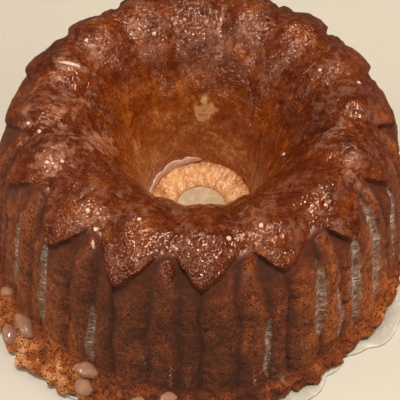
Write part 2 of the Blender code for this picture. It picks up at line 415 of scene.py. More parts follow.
SHIFT = solid_shift()
AXIS = Vector(SHIFT)


# Zones of the crust. Each ring gives its points and, for every point, these shares:
# tone is how dark it is, from how darkly it is baked and from painted shade under the tongues
# and in the grooves, glaze how wet it is, pores how open the crumb is, film how much milky
# sugar lies on it, and lip how craggy it is.


def crust_rings(azimuth):
    """Every ring of the dressed cake in order, as points and a dictionary of shares."""
    one = np.ones_like(azimuth)
    _, phase = lobe_of(azimuth)
    valley = lobe_relief(phase)

    def shares(tone, glaze, pores, film, lip=0.0):
        given = {"tone": tone, "glaze": glaze, "pores": pores, "film": film, "lip": lip}
        return {name: value * one for name, value in given.items()}

    yield placed(azimuth, HOLE_RADIUS * one, 0.0 * one) + (*HOLE_SHIFT, 0.0), shares(0.1, 0.5, 0.5, 0.2)
    for ring in range(1, COLLAR_RINGS + 1):
        share = ring / COLLAR_RINGS
        yield collar_point(azimuth, share * one), shares(0.03 + 0.14 * share**4, 0.7, 0.5, 0.1, 0.3)
    for ring in range(FUNNEL_RINGS, 0, -1):
        turn = (math.pi / 2) * (ring / (FUNNEL_RINGS + 0.6))
        up = 1.0 - math.sin(turn)
        tone = 0.29 + 0.46 * ease(up, 0.0, 0.5)
        film = 0.16 + 0.3 * ease(up, 0.1, 0.6) * (0.5 + 0.5 * valley)
        yield funnel_point(azimuth, turn * one), shares(tone, 0.85 + 0.15 * up, 0.0, film)
    edge = tongue_edge(azimuth)
    for ring in range(TOP_RINGS + 1):
        drop = edge * ring / TOP_RINGS
        near_edge = ease(drop, edge - 0.006, edge)
        film = (0.2 + 0.24 * valley) * (1.0 - 0.6 * near_edge)
        yield outside_point(azimuth, drop), shares(TOP_TONE, 0.88 + 0.12 * near_edge, 0.15 * near_edge, film)
    width = step_width(phase)
    for ring in range(1, STEP_RINGS + 1):
        share = ring / STEP_RINGS
        # The step darkens downward: painted shade under the tongue's edge, leading into the recess.
        baked = shares(STEP_TONE + 0.15 * share, 0.9 - 0.7 * share, 0.15 + 0.2 * share, 0.0)
        yield outside_point(azimuth, edge + width * share), baked
    start = edge + width
    for ring in range(1, WALL_RINGS + 1):
        share = (ring / WALL_RINGS) ** 1.05
        drop = start + (WALL_DROP - start) * share
        below = drop - edge
        depth = -wall_relief(phase) / GROOVE_DEPTH
        runs = RUN_LENGTH * (1.0 + 0.6 * waves(azimuth, RAGGED_WAVES))
        wet = 1.0 - ease(below, 0.3 * runs, 1.5 * runs)
        rib = ease(phase, 0.45, 0.53) * (1.0 - ease(phase, 0.64, 0.72))
        # Painted shade in the recess under a tongue's edge, fading downward and left off the rib.
        shade = RECESS_SHADE * (1.0 - rib) * np.exp(-below / RECESS_SHADE_REACH)
        tone = WALL_TONE + (WET_SHADE - RIB_LIGHTNESS * rib) * wet - 0.06 * ease(share, 0.5, 1.0)
        # Darker in the grooves, partly darker crust and partly painted shade, then the recess's painted shade
        # added.
        tone = tone + GROOVE_SHADE * depth**2 + shade
        glaze = 0.1 + (0.14 + 0.7 * rib) * wet
        yield outside_point(azimuth, drop), shares(tone, glaze, 1.0 - 0.85 * wet, 0.1 * wet)
    golden = lip_gold(azimuth)
    for (out_a, height_a), (out_b, height_b) in zip(LIP_SKIN, LIP_SKIN[1:]):
        for step in range(1, LIP_RINGS + 1):
            share = step / LIP_RINGS
            out = out_a + (out_b - out_a) * share
            height = height_a + (height_b - height_a) * share
            tone = WALL_TONE - (0.02 + 0.34 * golden) * ease(out, 0.0, 0.6)
            rough = 0.4 + 0.6 * ease(out, 0.0, 0.5)
            yield lip_point(azimuth, out, height * one), shares(tone, 0.15, 1.0, 0.0, rough)
    yield placed(azimuth, BASE_RADIUS * one, 0.0 * one), shares(UNDERSIDE_TONE, 0.1, 0.8, 0.0)


def rolled_grid(bm, columns, rows):
    """A flat grid, as verts with each one's column and row, to be rolled up by moving them."""
    verts = bmesh.ops.create_grid(bm, x_segments=columns, y_segments=rows, size=1.0)["verts"]
    flat = np.array([vert.co[:2] for vert in verts])
    column, row = np.rint((flat + 1) / 2 * (columns, rows)).astype(int).T
    return verts, column, row


def distance_from(points, start, end):
    """How far each point is from a straight line between two places of the skin."""
    first, last = skin_places(np.radians((start[0], end[0])), np.array((start[1], end[1])))
    along = last - first
    share = np.clip((points - first) @ along / (along @ along), 0.0, 1.0)
    return np.linalg.norm(points - first - share[..., None] * along, axis=-1)


def grained(place, normal, shares, grain):
    """A point of the crust with its lumps, crags and pits."""
    lumps = noise.fractal(place * LUMPS_PER_METRE, 0.8, 2.1, 3) * grain.lump_depth
    crags = noise.fractal(place * CRAGS_PER_METRE, 0.8, 2.0, 2) * grain.crag_depth * shares["lip"]
    crags += noise.noise(place * BROAD_CRAGS_PER_METRE) * BROAD_CRAG_SHARE * grain.crag_depth * shares["lip"]
    pebbles = noise.noise(place * PEBBLES_PER_METRE) * grain.pebble_depth * shares["glaze"]
    distances, _ = noise.voronoi(place / grain.pit_spacing)
    pit = 0.0
    if noise.noise(place * PIT_AREAS_PER_METRE) + LIP_PITS * shares["lip"] > PIT_CHOICE:
        pit = max(0.0, 1.0 - distances[0] / PIT_WIDTH) * grain.pit_depth * shares["pores"]
    return place + normal * (lumps + crags + pebbles - pit)


def build_crust(grain):
    """The dressed mesh: the solid's form with finer rings, its unevenness and its shares as attributes."""
    azimuth = FIRST_LOBE + np.arange(COLUMNS) * (2 * math.pi / COLUMNS)
    rings = list(crust_rings(azimuth))
    points = np.stack([ring for ring, _ in rings]) + SHIFT
    zones = {name: np.stack([shares[name] for _, shares in rings]) for name in rings[0][1]}
    bends = 3.0 * np.sin(np.roll(points, 1, axis=-1) * SWIRL_BENDS)
    swirl = np.sin(points * SWIRL_WAVES + bends).sum(axis=-1)
    for name, patches in PATCHES.items():
        for start, end, reach, amount in patches:
            away = distance_from(points, start, end) + PATCH_RAGGEDNESS * reach * swirl
            zones[name] += amount * (1.0 - ease(away, 0.3 * reach, reach))
    bm = bmesh.new()
    layers = {name: bm.verts.layers.float.new(name) for name in zones}
    for vert, column, row in zip(*rolled_grid(bm, COLUMNS, len(rings))):
        ring, column = row % len(rings), column % COLUMNS
        vert.co = points[ring, column]
        for name, layer in layers.items():
            vert[layer] = zones[name][ring, column]
    bmesh.ops.remove_doubles(bm, verts=bm.verts, dist=1e-7)
    bmesh.ops.recalc_face_normals(bm, faces=bm.faces)
    bm.normal_update()
    moved = [
        grained(vert.co, vert.normal, {name: vert[layer] for name, layer in layers.items()}, grain)
        if vert.co.z > 0.0005
        else vert.co.copy()
        for vert in bm.verts
    ]
    for vert, place in zip(bm.verts, moved):
        # Painted shade in the crevices of the relief and painted light on its crests, most on the craggy lip.
        rise = (place - vert.co).dot(vert.normal)
        vert[layers["tone"]] -= CREVICE_SHADE * rise * (0.5 + vert[layers["lip"]])
        vert.co = place
        vert.co.z = max(vert.co.z, 0.0)
    return bm


# Glaze that has a thickness of its own. What is laid on the crust is a sphere or a rolled
# grid, with its verts moved to heights over it. The pool and puddle have heights of their own.


def crust_tree():
    """The dressed crust, to lay glaze on."""
    mesh = bpy.data.objects[CAKE].data
    return BVHTree.FromPolygons([v.co for v in mesh.vertices], [p.vertices for p in mesh.polygons])


def start_laying(step):
    """The crust to lay glaze on, a new bmesh for it, and a source of chance for this step."""
    noise.seed_set(SEED + step)
    return crust_tree(), bmesh.new(), random.Random(SEED + 1 + step)


def skin_places(azimuth, way):
    """Places on the skin. A way leads down the outside and over the lip, or below 0 down the funnel."""
    outside = outside_point(azimuth, np.clip(way, 0.0, WALL_DROP))
    out = np.clip((way - WALL_DROP) / LIP_WAY, 0.0, 1.0)
    lip = lip_point(azimuth, out, np.interp(out, *zip(*LIP_SKIN[:-1])))
    funnel_length = math.pi / 4 * (CREST_RADIUS - COLLAR_RADIUS + HEIGHT - COLLAR_HEIGHT)
    funnel = funnel_point(azimuth, np.clip(-way / funnel_length, 0.0, 1.0) * math.pi / 2)
    zone = [(way < 0.0)[:, None], (way > WALL_DROP)[:, None]]
    return np.select(zone, [funnel, lip], outside) + SHIFT


def skin_frame(azimuth, way):
    """A place, with directions across it (round the cake) and down it."""
    reach = 0.002
    azimuths = azimuth + np.array((0, 1, -1, 0, 0)) * reach / SKIN_RADIUS
    near = skin_places(azimuths, way + np.array((0, 0, 0, 1, -1)) * reach)
    place, right, left, low, high = (Vector(point) for point in near)
    return place, (right - left).normalized(), (low - high).normalized()


def lay(verts, crust, places, heights, up=None, evenness=0.0):
    """Moves verts to heights over the crust. Evenness 0 follows its crags, and 1 bridges them."""
    for vert, place, height in zip(verts, places, heights):
        near, normal, _, _ = crust.find_nearest(Vector(place))
        vert.co = near.lerp(Vector(place), evenness) + (up or normal) * height


def add_blob(bm, crust, frame_at, size, turn=0.0, wobble=0.0, sink=GLAZE_SINK, fineness=20, evenness=0.0):
    """A drop or blob of glaze of this length, width and thickness, domed on top, sunk a little below."""
    segments = {"u_segments": fineness, "v_segments": fineness // 2 + 2}
    made = bmesh.ops.create_uvsphere(bm, **segments, radius=1.0)["verts"]
    length, width, thickness = size
    place, across, down = frame_at
    up = down.cross(across).normalized()
    start = noise.random_vector() * 10.0
    cosine, sine = math.cos(turn), math.sin(turn)
    across, down = across * cosine + down * sine, down * cosine - across * sine
    places, heights = [], []
    for vert in made:
        outward = 1.0 + wobble * noise.noise(Vector((vert.co.x, vert.co.y, 0.0)) * 0.9 + start)
        places.append(place + (across * vert.co.x * width + down * vert.co.y * length) * (outward / 2))
        heights.append(vert.co.z**0.7 * thickness if vert.co.z > 0 else max(vert.co.z * thickness, -sink))
    lay(made, crust, places, heights, up, evenness)


def add_strand(bm, crust, path, width, thickness, sides=12):
    """A streak of glaze along a path of azimuths and ways: a grid rolled into a flat tube."""
    azimuths, ways = path
    steps = len(ways) - 1
    core = bm.verts.layers.float.get("core") or bm.verts.layers.float.new("core")
    made, step, side = rolled_grid(bm, steps, sides)
    share = step / steps
    taper = np.sqrt(np.maximum(1.0 - np.abs(2.0 * share - 1.0) ** 4, 0.0))
    turn = side * 2 * math.pi / sides
    start = noise.random_vector() * 10.0
    round_edge = zip(ways[step] * EDGE_WAVES_PER_METRE, 0.9 * np.cos(turn))
    edge = [noise.noise(Vector((along, beside, 0.0)) + start) for along, beside in round_edge]
    spread = width * (0.6 + 0.4 * np.sin(math.pi * share)) * taper * (1.0 + 0.3 * np.array(edge))
    across = np.cos(turn) * spread / 2
    rise = np.sin(turn) * (thickness * taper)
    places = skin_places(azimuths[step] + across / WALL_RADIUS, ways[step])
    lay(made, crust, places, np.maximum(rise, -GLAZE_SINK))
    for vert, value in zip(made, np.sin(turn) ** 2 * taper):
        vert[core] = value
    bmesh.ops.remove_doubles(bm, verts=made, dist=1e-6)


def new_object(name, bm, material):
    """An object of the scene, made from a bmesh."""
    mesh = bpy.data.meshes.new(name)
    bm.to_mesh(mesh)
    bm.free()
    mesh.materials.append(material)
    made = bpy.data.objects.new(name, mesh)
    bpy.context.scene.collection.objects.link(made)
    return made


def make_piece(name, bm, material):
    """A finished piece of the cake: normals outward, smooth, riding on the cake."""
    bmesh.ops.recalc_face_normals(bm, faces=bm.faces)
    piece = new_object(name, bm, material)
    piece.data.shade_smooth()
    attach(piece, "root")
    return piece


# Materials. Every pattern reads object coordinates, in metres, or the crust's shares.


# How fine the patterns are, as features to a metre: the crust's mottling, its pores, the
# ripples and milky blotches of dried glaze, and the streaks.
BROAD_MOTTLE, SMALL_MOTTLE, FINE_MOTTLE = 70.0, 340.0, 1100.0
PORE_AREAS, FINE_CRUMB = 600.0, 1500.0
BROAD_RIPPLES, FINE_RIPPLES = 330.0, 900.0
BROAD_BLOTCHES, SMALL_BLOTCHES = 80.0, 300.0
STREAK_PATCHES, STREAK_RIPPLES = 95.0, 620.0
STREAK_RELIEF = 0.0004

# Where the crust's five colours stand between unbaked at 0 and burnt at 1; the tone that picks
# them carries painted shade too. Then the painted shade inside the pores: its colour and strength.
BAKED_PLACES = (
    (0.0, "crumb_colour"), (0.28, "golden_colour"), (0.58, "brown_colour"), (0.82, "dark_colour"),
    (1.0, "burnt_colour"),
)
PORE_SHADE_COLOUR = (0.012, 0.003, 0.001)
PORE_SHADE_STRENGTH = 0.85


def fill(tree, node, inputs):
    """Links or sets the inputs of a node."""
    for key, value in inputs.items():
        if isinstance(value, bpy.types.NodeSocket):
            tree.links.new(value, node.inputs[key])
        else:
            node.inputs[key].default_value = value
    return node


def add_node(tree, kind, inputs=None, **settings):
    """A node with its settings and its inputs."""
    made = tree.nodes.new(kind)
    for key, value in settings.items():
        setattr(made, key, value)
    return fill(tree, made, inputs or {})


def mix(tree, factor, first, second):
    """One colour or the other, by a factor. A mix node's colours are its sockets 6 and 7."""
    inputs = {0: factor}
    for socket, colour in ((6, first), (7, second)):
        inputs[socket] = colour if isinstance(colour, bpy.types.NodeSocket) else (*colour[:3], 1.0)
    return add_node(tree, "ShaderNodeMix", inputs, data_type="RGBA").outputs[2]


def maths(tree, operation, *values, clamp=False):
    inputs = dict(enumerate(values))
    return add_node(tree, "ShaderNodeMath", inputs, operation=operation, use_clamp=clamp).outputs[0]


def product(tree, first, second, clamp=False):
    return maths(tree, "MULTIPLY", first, second, clamp=clamp)


def average(tree, first, second):
    return maths(tree, "ADD", product(tree, first, 0.5), product(tree, second, 0.5))


def between(tree, value, low, high, to_low=0.0, to_high=1.0):
    """A value eased from one range into another."""
    inputs = {"Value": value, "From Min": low, "From Max": high, "To Min": to_low, "To Max": to_high}
    return add_node(tree, "ShaderNodeMapRange", inputs, interpolation_type="SMOOTHSTEP").outputs["Result"]


def noise_value(tree, vector, scale, detail=3.0, roughness=0.55):
    inputs = {"Vector": vector, "Scale": scale, "Detail": detail, "Roughness": roughness}
    return add_node(tree, "ShaderNodeTexNoise", inputs).outputs["Fac"]


def relief(tree, height, depth):
    """The normal of fine relief of this depth in metres."""
    inputs = {"Height": height, "Strength": 1.0, "Distance": depth}
    return add_node(tree, "ShaderNodeBump", inputs).outputs["Normal"]


def new_group(name, inputs, outputs):
    """An empty node group that takes a vector and numbers, and puts out numbers."""
    group = bpy.data.node_groups.new(name, "ShaderNodeTree")
    group.interface.new_socket("Vector", in_out="INPUT", socket_type="NodeSocketVector")
    for way, sockets in (("INPUT", inputs), ("OUTPUT", outputs)):
        for socket in sockets:
            group.interface.new_socket(socket, in_out=way, socket_type="NodeSocketFloat")
    source, result = group.nodes.new("NodeGroupInput"), group.nodes.new("NodeGroupOutput")
    return group, [source.outputs[socket] for socket in ("Vector", *inputs)], result


def cells_distance(tree, vector, scale):
    """Distance from the middle of the nearest cell of an uneven pattern."""
    inputs = {"Vector": vector, "Scale": scale, "Randomness": 1.0}
    return add_node(tree, "ShaderNodeTexVoronoi", inputs).outputs["Distance"]


def pores_group():
    """Open crumb: round pits of uneven size, as a mask, where the crust paints the shade inside them, and a
    height.
    """
    numbers = "Scale", "Openness"
    group, (vector, scale, openness), result = new_group("open_crumb", numbers, ("Mask", "Height"))
    distance = cells_distance(group, vector, scale)
    size = noise_value(group, vector, PORE_AREAS, 1.0)
    reach = product(group, between(group, size, 0.35, 0.6, 0.12, 0.48), openness)
    mask = between(group, maths(group, "SUBTRACT", reach, distance), 0.0, 0.16)
    fine = product(group, noise_value(group, vector, FINE_CRUMB, 2.0), 0.5)
    fill(group, result, {"Mask": mask, "Height": maths(group, "SUBTRACT", fine, mask)})
    return group


def sugar_group():
    """The uneven skin of dried sugar glaze, as a height that glints and a mask of milky blotches."""
    group, (vector, grain), result = new_group("sugar_skin", ("Grain",), ("Height", "Blotches"))
    dome = maths(group, "POWER", cells_distance(group, vector, grain), 2.0)
    fine = noise_value(group, vector, FINE_RIPPLES, 2.0, 0.6)
    coarse = noise_value(group, vector, BROAD_RIPPLES, 2.0)
    ripples = product(group, maths(group, "ADD", fine, coarse), 0.45)
    height = maths(group, "SUBTRACT", ripples, product(group, dome, 0.5))
    broad = noise_value(group, vector, BROAD_BLOTCHES, 3.0, 0.6)
    small = noise_value(group, vector, SMALL_BLOTCHES, 3.0, 0.65)
    blotches = between(group, average(group, broad, small), 0.47, 0.63)
    fill(group, result, {"Height": height, "Blotches": blotches})
    return group


def group_outputs(tree, group, inputs):
    """What a node group puts out in a material."""
    return add_node(tree, "ShaderNodeGroup", inputs, node_tree=group).outputs


def sugar_skin(tree, vector, looks):
    group = bpy.data.node_groups.get("sugar_skin") or sugar_group()
    return group_outputs(tree, group, {"Vector": vector, "Grain": 1.0 / looks.sugar_grain})


def new_material(name):
    material = bpy.data.materials.new(name)
    material.use_nodes = True
    tree = material.node_tree
    vector = add_node(tree, "ShaderNodeTexCoord").outputs["Object"]
    return material, tree, tree.nodes["Principled BSDF"], vector


def attribute(tree, name):
    return add_node(tree, "ShaderNodeAttribute", attribute_name=name).outputs["Fac"]


def baked_and_shaded_colour(tree, baked, looks):
    """The crust's colour, from palest at 0 to darkest at 1."""
    ramp = add_node(tree, "ShaderNodeValToRGB", {"Fac": baked})
    stops = ramp.color_ramp.elements
    while len(stops) < len(BAKED_PLACES):
        stops.new(0.5)
    for stop, (place, name) in zip(stops, BAKED_PLACES):
        stop.position = place
        stop.color = (*getattr(looks, name), 1.0)
    return ramp.outputs["Color"]


def crust_material(looks):
    """Baked crust with pores where it is open and glaze where it is wet, and the painted shade and
    light that its tone carries; the pores are painted with the shade inside them.
    """
    material, tree, shader, vector = new_material("glazed_crust")
    tone, glaze, pores, film = (attribute(tree, name) for name in ("tone", "glaze", "pores", "film"))
    broad = noise_value(tree, vector, BROAD_MOTTLE, 3.0, 0.6)
    small = noise_value(tree, vector, SMALL_MOTTLE, 3.0, 0.65)
    fine = noise_value(tree, vector, FINE_MOTTLE, 3.0, 0.7)
    fine = product(tree, maths(tree, "SUBTRACT", fine, 0.5), between(tree, pores, 0.0, 1.0, 0.5, 1.0))
    mottle = maths(tree, "ADD", maths(tree, "SUBTRACT", average(tree, broad, small), 0.5), fine)
    unevenness = between(tree, pores, 0.0, 1.0, looks.mottling, 0.75 * looks.mottling)
    unevenness = product(tree, unevenness, between(tree, tone, 0.25, 0.75, 0.55, 1.0))
    # The tone carries painted shade and light as well as how darkly the crust is baked.
    baked = maths(tree, "ADD", tone, product(tree, mottle, unevenness))
    inputs = {"Vector": vector, "Openness": pores, "Scale": 1.0 / looks.pore_spacing}
    crumb = group_outputs(tree, pores_group(), inputs)
    sugar = sugar_skin(tree, vector, looks)
    # Painted shade inside the pores, nearly black where the pore mask is full.
    pore_shade = product(tree, crumb["Mask"], PORE_SHADE_STRENGTH)
    colour = mix(tree, pore_shade, baked_and_shaded_colour(tree, baked, looks), PORE_SHADE_COLOUR)
    thick = product(tree, between(tree, film, 0.8, 1.5), between(tree, small, 0.35, 0.6, 0.15, 0.65))
    milk = product(tree, film, maths(tree, "MAXIMUM", sugar["Blotches"], thick), clamp=True)
    colour = mix(tree, product(tree, milk, looks.film_strength), colour, looks.film_colour)
    roughness = between(tree, glaze, 0.15, 0.95, looks.dry_roughness, looks.wet_roughness)
    height = maths(tree, "ADD", product(tree, sugar["Height"], glaze), product(tree, crumb["Height"], pores))
    shader.distribution = "GGX"
    fill(tree, shader, {
        "Base Color": colour,
        "Roughness": maths(tree, "ADD", roughness, product(tree, small, 0.08)),
        "Specular IOR Level": looks.shine,
        "Specular Tint": (*looks.shine_colour, 1.0),
        "Normal": relief(tree, height, looks.bump_depth),
    })
    return material


def streak_material(name, colour, alpha, roughness):
    """Thin glaze in a groove: clear at its edges, with fine ripples across it."""
    material, tree, shader, vector = new_material(name)
    squeezed = add_node(tree, "ShaderNodeVectorMath", {0: vector, 1: (0.35, 0.35, 1.0)}, operation="MULTIPLY")
    ripples = noise_value(tree, squeezed.outputs["Vector"], STREAK_RIPPLES, 2.0, 0.5)
    thin = between(tree, ripples, 0.4, 0.62, 0.35 * alpha, min(1.0, 1.5 * alpha))
    patchy = between(tree, noise_value(tree, vector, STREAK_PATCHES, 2.0), 0.36, 0.62, 0.35, 1.0)
    fade = product(tree, maths(tree, "POWER", attribute(tree, "core"), 1.4), patchy)
    fill(tree, shader, {
        "Base Color": (*colour, 1.0),
        "Roughness": roughness,
        "Alpha": product(tree, thin, fade),
        "Normal": relief(tree, ripples, STREAK_RELIEF),
    })
    return material


def glaze_material(name, colour, looks, roughness=0.12, ripple=0.0002):
    """Thick sugar glaze: glossy, uneven and milky in blotches."""
    material, tree, shader, vector = new_material(name)
    sugar = sugar_skin(tree, vector, looks)
    lighter = tuple(min(1.0, channel * 1.3) for channel in colour)
    fill(tree, shader, {
        "Base Color": mix(tree, sugar["Blotches"], colour, lighter),
        "Roughness": roughness,
        "Normal": relief(tree, sugar["Height"], ripple),
    })
    return material


# What a user would change.


def quantity(name, description, default, **limits):
    return bpy.props.FloatProperty(name=name, description=description, default=default, **limits)


def metres(name, description, default, most=0.02):
    return quantity(name, description, default, min=0.0, max=most, subtype="DISTANCE", unit="LENGTH")


def fraction(name, description, default, most=1.0):
    return quantity(name, description, default, min=0.0, max=most)


def watts(name, description, default):
    return quantity(name, description, default, min=0.0, unit="POWER")


def angle(name, description, default):
    return quantity(name, description, default, subtype="ANGLE")


def tint(name, description, default):
    limits = {"size": 3, "min": 0.0, "max": 1.0, "subtype": "COLOR"}
    return bpy.props.FloatVectorProperty(name=name, description=description, default=default, **limits)


class CrustSettings(bpy.types.PropertyGroup):
    """Relief and colours of the baked crust."""

    lump_depth: metres("Lumps", "Depth of the slow lumps of the crust", 0.0008)
    crag_depth: metres("Crags", "Depth of the crags on the lip", 0.0024)
    pebble_depth: metres("Pebbles", "Depth of the pebbled glaze on top", 0.0003)
    pit_depth: metres("Pits", "Depth of the larger pits in the crumb", 0.0011)
    pit_spacing: metres("Pit spacing", "Distance between the larger pits", 0.006)
    pore_spacing: metres("Pore spacing", "Distance between the fine pores", 0.0013)
    sugar_grain: metres("Sugar grain", "Size of the grain of the dried glaze", 0.0013)
    bump_depth: metres("Fine relief", "Depth of the pores and the sugar grain", 0.0007)
    mottling: fraction("Mottling", "How unevenly the crust is baked", 2.0, 3.0)
    film_strength: fraction("Film", "How milky the film of glaze is", 0.6)
    dry_roughness: fraction("Dry roughness", "Roughness of bare crumb", 1.0)
    wet_roughness: fraction("Wet roughness", "Roughness under glaze", 0.09)
    shine: fraction("Shine", "Strength of the shine of the crust", 0.85)
    crumb_colour: tint("Crumb", "Palest crumb, on collar and lip", (0.74, 0.39, 0.16))
    golden_colour: tint("Golden crust", "Golden crust of the lip", (0.37, 0.086, 0.01))
    brown_colour: tint("Brown crust", "Crust of the wall", (0.16, 0.028, 0.0015))
    # The dark and darkest crust colours also show the painted shade under the tongues, in the grooves and in
    # the crevices.
    dark_colour: tint("Dark crust", "Crust of the top", (0.094, 0.0135, 0.0018))
    burnt_colour: tint("Darkest crust", "Darkest patches of the top", (0.054, 0.007, 0.0005))
    film_colour: tint("Film colour", "Milky film of dried glaze", (0.54, 0.26, 0.16))
    shine_colour: tint("Shine colour", "Colour of the shine of the crust", (1.0, 0.64, 0.46))


class GlazeSettings(bpy.types.PropertyGroup):
    """Sizes and colours of the thicker glaze."""

    streak_width: metres("Streak width", "Width of a streak down a groove", 0.0085)
    streak_thickness: metres("Streak thickness", "Thickness of a streak", 0.0004)
    run_width: metres("Run width", "Width of the thin runs in a streak", 0.0012)
    drop_size: metres("Drop size", "Width of a round drop on the top", 0.0024)
    puddle_reach: metres("Puddle", "How far the puddle reaches past the lip", 0.011)
    streak_colour: tint("Streak colour", "Glaze in the grooves", (0.62, 0.46, 0.34))
    drop_colour: tint("Drop colour", "Drops and thick glaze on top", (0.66, 0.44, 0.32))
    lip_colour: tint("Lip glaze", "Blobs of glaze over the lip", (0.32, 0.16, 0.095))
    pool_colour: tint("Pool colour", "Glaze in the hole", (0.5, 0.36, 0.22))
    puddle_colour: tint("Puddle colour", "Glaze round the foot", (0.55, 0.51, 0.42))


class StageSettings(bpy.types.PropertyGroup):
    """Floor, lights and camera."""

    floor_colour: tint("Floor", "Plain pale floor", (0.59, 0.53, 0.43))
    room_light: fraction("Room light", "Strength of the soft light", 0.12)
    ceiling_power: watts("Ceiling light", "Power of the broad light overhead", 4.6)
    side_power: watts("Side light", "Power of each side light", 7.0)
    main_power: watts("Main light", "Power of the light that casts shadows", 12.0)
    glint_power: watts("Glint light", "Power of the small lights in the shine", 22.0)
    camera_lens: quantity("Lens", "Focal length of the camera", 66.15, min=10.0, unit="CAMERA")
    camera_distance: metres("Distance", "From the camera to the foot of the hole", 0.442, 10.0)
    camera_elevation: angle("Elevation", "Angle of the camera above the floor", 0.973)
    camera_roll: angle("Roll", "How far the camera is turned about its own axis", 0.015)


# Glaze on the skin, by direction in degrees and way down the skin in metres.
DROP_PLACES = (
    (-80.7, 0.0074), (-75.6, 0.0015), (-60.4, 0.0027), (-58.9, -0.0071), (-154.6, -0.0286), (-36.8, 0.0041),
    (-32.2, 0.0099), (-20.1, -0.0047), (9.4, 0.0021), (20.3, -0.0011), (112.0, -0.0195), (75.9, -0.0568),
)
HIDDEN_DROPS = 5

# Smears go from one place to another, with a width.
SMEARS = (((-108.7, -0.004), (-111.0, -0.019), 0.0032), ((-31.0, 0.0145), (-30.0, 0.0185), 0.0018))
SMEAR_THICKNESS = 0.0004

# Streaks have a direction, two ways and a share of the usual width, with thin runs inside.
STREAKS = (
    (-57.3, 0.031, 0.0985, 1.0), (-44.2, 0.026, 0.0985, 1.0), (-27.6, 0.052, 0.0985, 0.8),
    (17.7, 0.046, 0.098, 0.6), (32.7, 0.025, 0.082, 1.1), (40.0, 0.052, 0.098, 0.6),
    (45.8, 0.025, 0.098, 1.3), (55.2, 0.018, 0.0985, 1.2), (68.3, 0.03, 0.0985, 1.0),
)
HIDDEN_LOBES = range(4, 13)
STREAK_STEPS = 49
RUN_STEPS = 41
RUN_SIDES = (-0.26, 0.24)
RUN_THICKNESS = 0.0006
RUN_CORNERS = 8
SQUIGGLES = ((-7.0, 0.076, 0.099), (-2.4, 0.086, 0.097), (14.0, 0.081, 0.0985), (-14.0, 0.07, 0.083))

# Glaze that clings to the collar's rim, as directions at one way down the funnel, and its size.
RIM_BLOBS = (-165.0, -140.0, -115.0, -92.0, -70.0)
RIM_WAY = -0.107
RIM_BLOB_SIZE = (0.006, 0.017, 0.0011)

# Blobs on the lip: direction, share of the way out over it, length, width and thickness.
LIP_BLOBS = (
    (-47.0, 0.3, 0.008, 0.0155, 0.005), (-48.5, 0.8, 0.0072, 0.0125, 0.0044),
    (-27.5, 0.32, 0.0082, 0.0135, 0.0046), (-26.0, 0.75, 0.0078, 0.01, 0.0038),
    (-13.6, 0.85, 0.006, 0.0075, 0.003), (-6.7, 0.4, 0.006, 0.0085, 0.0028),
    (-58.0, 0.3, 0.006, 0.007, 0.003), (72.0, 0.4, 0.007, 0.0085, 0.0026),
    (128.0, 0.45, 0.008, 0.01, 0.0032), (-151.0, 0.35, 0.007, 0.0095, 0.003),
)

# The pool in the hole, and the puddle's section as ways in from its edge and heights.
POOL_MARGIN = 0.0006
POOL_DOME = 0.0016
PUDDLE_SECTION = (
    (-0.01, 0.0), (-0.01, 0.0007), (-0.0028, 0.0007), (-0.0018, 0.0011), (-0.0008, 0.0011), (0.0, 0.0002)
)

# Lights: place, size, the setting and share that give the power, and whether it is a glint light.
LIGHTS = (
    ("ceiling_light", (0.45, 0.2, 1.3), 0.6, "ceiling_power", 1.0, False),
    ("left_light", (-1.05, -0.05, 0.4), 0.8, "side_power", 1.0, False),
    ("right_light", (1.05, -0.1, 0.4), 0.8, "side_power", 1.25, False),
    ("main_light", (0.03, -0.2, 1.3), 0.14, "main_power", 1.0, False),
    ("ceiling_glints", (0.03, -0.2, 1.3), 0.17, "glint_power", 1.0, True),
    ("window_glints", (0.22, -1.2, 0.52), 0.15, "glint_power", 0.15, True),
    ("left_glints", (-0.9, -0.8, 0.75), 0.25, "glint_power", 0.22, True),
)
FLOOR_SIZE = 3.0
AIM_SHIFT = (0.0005, 0.0065, 0.0)


def hidden_streaks(chance):
    """Streaks for most of the hidden grooves."""
    pitch = 360.0 / LOBES
    for lobe in HIDDEN_LOBES:
        for phase in (0.0, 0.417):
            if chance.random() < 0.75:
                direction = math.degrees(FIRST_LOBE) + (lobe + phase) * pitch
                yield direction, chance.uniform(0.026, 0.045), chance.uniform(0.08, 0.0985), 0.8


class CAKE_OT_crust(bpy.types.Operator):
    """Dress the cake with its baked and glazed crust"""

    bl_idname = "cake.crust"
    bl_label = "Crust"

    def execute(self, context):
        settings = context.scene.cake_crust
        crust = make_piece(CAKE, build_crust(settings), crust_material(settings))
        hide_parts("cake")
        return {"FINISHED"}


